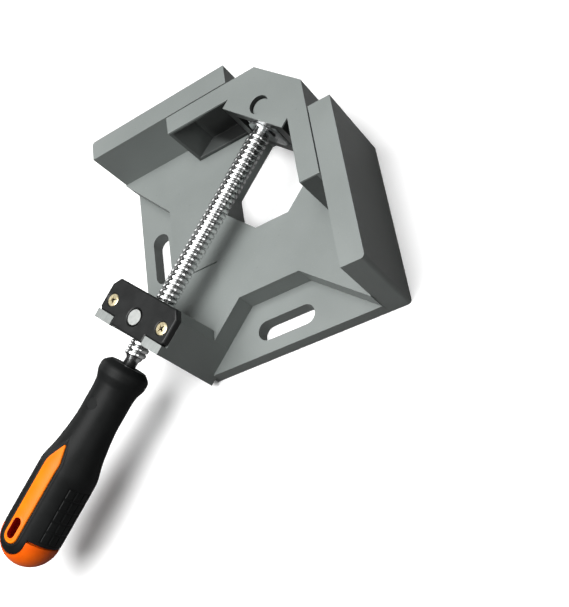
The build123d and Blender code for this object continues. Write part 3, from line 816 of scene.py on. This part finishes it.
def root_shaded_thread():
    """The screw's zinc plating, with painted shade in the roots between its ridges."""
    shade = Shade("root_shaded_thread_zinc", Metallic=1.0)
    plate = clouded_metal(shade, rgb(204, 206, 206), rgb(232, 233, 232), 0.12)
    along, across, height = shade.across_screw()
    from_axis = distance_of(across, height - screw_height)
    on_thread = along.step(thread_start, thread_start + 0.001)
    on_thread = on_thread * (1 - along.step(thread_stop, thread_stop + 0.003))
    # Painted shade in the thread's roots, fading out towards the crest
    root_shade = on_thread * (1 - from_axis.step(root_radius + 0.0001, root_radius + 0.0006))
    shade.set(Base_Color=shade.blend(root_shade * 0.6, plate, rgb(84, 85, 84)))
    return shade.material


def turned_pin(name, middle_along, radius, color, metallic=1.0):
    """A turned pin end: fine rings about its own upright axis, and painted shade in the gap at its rim."""
    shade = Shade(name, Metallic=metallic)
    along, across, height = shade.across_screw()
    out = distance_of(along - middle_along, across)
    rings = (out * 9000).math("SINE") * 0.5 + 0.5
    cloud = shade.noise(300, 3, 0.6)
    turned = shade.blend(cloud, color, rgb(206, 208, 206))
    # Near black ring at the rim: painted shade in the gap round the pin
    shade.set(Base_Color=shade.blend(out.step(radius - 0.0006, radius - 0.0004), turned, rgb(18, 18, 18)))
    shade.set(Roughness=cloud * 0.15 + 0.3)
    shade.bump(rings, fine_grain_height)
    return shade.material


def yellow_zinc():
    """Pale yellow plating on the screw heads, with painted shade in their cross recesses."""
    shade = Shade("yellow_zinc_plating", Metallic=0.75)
    along, across, height = shade.across_screw()
    cloud = shade.noise(500, 4, 0.6)
    plate = shade.blend(cloud.step(0.3, 0.7), rgb(206, 190, 148), rgb(238, 226, 190))
    # Below the head's top the colour is near black: painted shade in the cross recess
    above_recess = height.step(head_top - 0.0007, head_top - 0.0003)
    shade.set(Base_Color=shade.blend(above_recess, rgb(30, 26, 18), plate))
    shade.set(Roughness=cloud * 0.14 + 0.28)
    shade.bump(cloud, fine_grain_height)
    return shade.material


def soft_rubber():
    """Black moulded rubber: a fine matt grain with a faint bloom."""
    shade = Shade("black_soft_grip", Metallic=0.0, IOR=1.48, Specular_IOR_Level=0.1)
    grain = shade.noise(2600, 2, 0.6)
    cloud = shade.noise(70, 3, 0.55)
    shade.set(Base_Color=shade.blend(cloud.step(0.3, 0.75), rgb(20, 21, 21), rgb(26, 27, 27)))
    shade.set(Roughness=cloud * 0.12 + grain * 0.08 + 0.36)
    shade.bump(grain, grain_height)
    return shade.material


def hard_orange():
    """Orange moulded plastic, all one plastic, with painted light and shade.

    The inlays, which face the light, are painted a lighter gold, the dome a shaded red, and the hanging slot
    a deep red for the shade inside it.
    """
    shade = Shade("orange_hard_plastic", Metallic=0.0, IOR=1.5, Specular_IOR_Level=0.2)
    along, across, height = shade.across_screw()
    along = along - handle_front
    side = (across * np.cos(handle_turn) - (height - screw_height) * np.sin(handle_turn)).absolute()
    inlay_end = inlay_round + inlay_half_width
    inlay = 1 - side.step(inlay_half_width + 0.00005, inlay_half_width + 0.00015)
    inlay = inlay * (1 - along.step(inlay_end, inlay_end + 0.0001))
    # Painted shade: the hanging slot's walls coloured deep red
    past_straight = ((along - slot_middle).absolute() - slot_reach).math("MAXIMUM", 0.0)
    slot = 1 - (distance_of(past_straight, side) - slot_radius).step(0.0, 0.0002)
    grain = shade.noise(1500, 2, 0.5)
    cloud = shade.noise(90, 3, 0.5)
    # Painted light and shade: one plastic as a shaded red on the dome and a lit gold on the inlays
    dome = shade.blend(cloud.step(0.3, 0.7), rgb(240, 92, 3), rgb(247, 102, 6))
    lit_gold = shade.blend(cloud.step(0.3, 0.7), rgb(240, 116, 0), rgb(246, 124, 2))
    skin = shade.blend(inlay, dome, lit_gold)
    shade.set(Base_Color=shade.blend(slot, skin, rgb(196, 18, 2)))
    shade.set(Roughness=cloud * 0.1 + grain * 0.06 + 0.36)
    shade.bump(grain, fine_grain_height)
    return shade.material


# Putting the clamp together

painted_base = base_paint()
zinc = bright_zinc()
rubber = soft_rubber()

dress(softened("base_casting", casting_edge), "base", painted_base, "grey_paint", "base_casting")
dress(softened("swing_jaw", casting_edge), "jaw", jaw_paint(), "grey_paint", "swing_jaw")
dress(softened("nut_cap", cap_edge), "base", black_cover(), "black_steel", "nut_cap")
dress(threaded_screw(), "screw", root_shaded_thread(), "bright_zinc", "lead_screw")
dress(soft_grip(), "screw", rubber, "black_rubber", "handle_grip")
dress(hard_core(), "screw", hard_orange(), "orange_plastic", "handle_core")
dress(head_pair(), "base", yellow_zinc(), "yellow_zinc", "nut_cap_screws")

cad_finishes = {
    "nut_washer": zinc,
    "nut_block": zinc,
    "tip_block": zinc,
    "tip_washer": zinc,
    "tip_retaining_ring": spring_steel(),
    "handle_plugs": rubber,
    "nut_pivot_upper": turned_pin("nut_pin_end", nut_along, nut_pin_radius, rgb(158, 162, 159),
                                  metallic=0.35),
    "nut_pivot_lower": turned_pin("nut_pin_foot", nut_along, nut_pin_radius, rgb(190, 193, 191)),
    "jaw_pivot_upper": painted_base,
    "jaw_pivot_lower": turned_pin("jaw_pin_foot", jaw_pivot_along, jaw_pin_radius, rgb(150, 154, 152)),
    "handle_cross_pin": zinc,
}
for node, material in cad_finishes.items():
    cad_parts[node].data.materials.clear()
    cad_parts[node].data.materials.append(material)


# Floor, light and camera

def floor():
    """A floor that is clean white to the eye, dim as light on the object, and takes the object's shadow.

    Far from the object its own glow makes up for the lamps, which don't reach there.
    """
    reach = 3.0
    mesh = bpy.data.meshes.new("floor")
    corners = [(-reach, -reach, 0), (reach, -reach, 0), (reach, reach, 0), (-reach, reach, 0)]
    mesh.from_pydata(corners, [], [(0, 1, 2, 3)])
    plane = bpy.data.objects.new("floor", mesh)
    bpy.context.scene.collection.objects.link(plane)
    shade = Shade("white_floor", Roughness=0.9, Specular_IOR_Level=0.0, Emission_Strength=0.12)
    seen = shade.add("ShaderNodeLightPath", output="Is Camera Ray")
    mirrored = shade.add("ShaderNodeLightPath", output="Is Glossy Ray")
    dim = shade.blend(mirrored, grey(0.08), grey(0.2))
    shade.set(Base_Color=shade.blend(seen, dim, grey(0.97)))
    along, across, height = shade.across_screw()
    far = distance_of(along, across).step(0.6, 1.4)
    glow = shade.blend(far, grey(1), grey(8))
    shade.set(Emission_Color=shade.blend(seen, grey(0), glow))
    plane.data.materials.append(shade.material)


def surroundings():
    """White to the eye, and a dim even grey as light on the object."""
    world = bpy.data.worlds.new("studio")
    bpy.context.scene.world = world
    world.use_nodes = True
    tree = world.node_tree
    path = tree.nodes.new("ShaderNodeLightPath")
    mix = tree.nodes.new("ShaderNodeMix")
    mix.data_type = "RGBA"
    tree.links.new(path.outputs["Is Camera Ray"], mix.inputs[0])
    mix.inputs[6].default_value = grey(0.045)
    mix.inputs[7].default_value = grey(1)
    tree.links.new(mix.outputs[2], tree.nodes["Background"].inputs["Color"])


def lamp(name, place, target, size, power, only_mirrored=False):
    """A square soft light that faces its target. It can be left to mirrors and gloss alone."""
    data = bpy.data.lights.new(name, "AREA")
    data.size = size
    data.energy = power
    light = bpy.data.objects.new(name, data)
    light.location = place
    light.rotation_euler = (Vector(target) - Vector(place)).to_track_quat("-Z", "Y").to_euler()
    light.visible_diffuse = not only_mirrored
    bpy.context.scene.collection.objects.link(light)


def lamps():
    """One large lamp overhead for light and shadow, and three panels that only metal and gloss mirror."""
    lamp("key", (0.15, 0.20, 0.92), (0.14, 0.14, 0.02), size=0.75, power=16.0)
    lamp("ceiling", (-0.06, 0.28, 1.0), (0.10, 0.10, 0.02), size=1.2, power=4.0, only_mirrored=True)
    lamp("side", (0.69, -0.52, 0.22), (0.10, 0.10, 0.03), size=0.5, power=1.3, only_mirrored=True)
    lamp("card", (-0.45, 0.62, 0.32), (0.12, 0.12, 0.04), size=0.35, power=1.0, only_mirrored=True)


def camera():
    """The photograph's view, worked out from the straight edges of the casting and the axis of the screw."""
    photo_height = 607
    photo_width = 569
    focal_pixels = 857.35
    middle = (278.92, 371.72)
    eye = Vector((-0.139261, 0.380478, 0.400225))
    right = Vector((-0.840519, 0.139817, -0.523430))
    down = Vector((0.335317, 0.893102, -0.299886))
    ahead = Vector((0.425547, -0.427575, -0.797552))
    data = bpy.data.cameras.new("camera")
    data.sensor_width = 36
    data.lens = focal_pixels * data.sensor_width / photo_height
    data.shift_x = (photo_width / 2 - middle[0]) / photo_height
    data.shift_y = (middle[1] - photo_height / 2) / photo_height
    view = bpy.data.objects.new("camera", data)
    view.matrix_world = Matrix.Translation(eye) @ Matrix((right, -down, -ahead)).transposed().to_4x4()
    bpy.context.scene.collection.objects.link(view)
    bpy.context.scene.camera = view


floor()
surroundings()
lamps()
camera()
bpy.context.scene.view_settings.view_transform = "Standard"
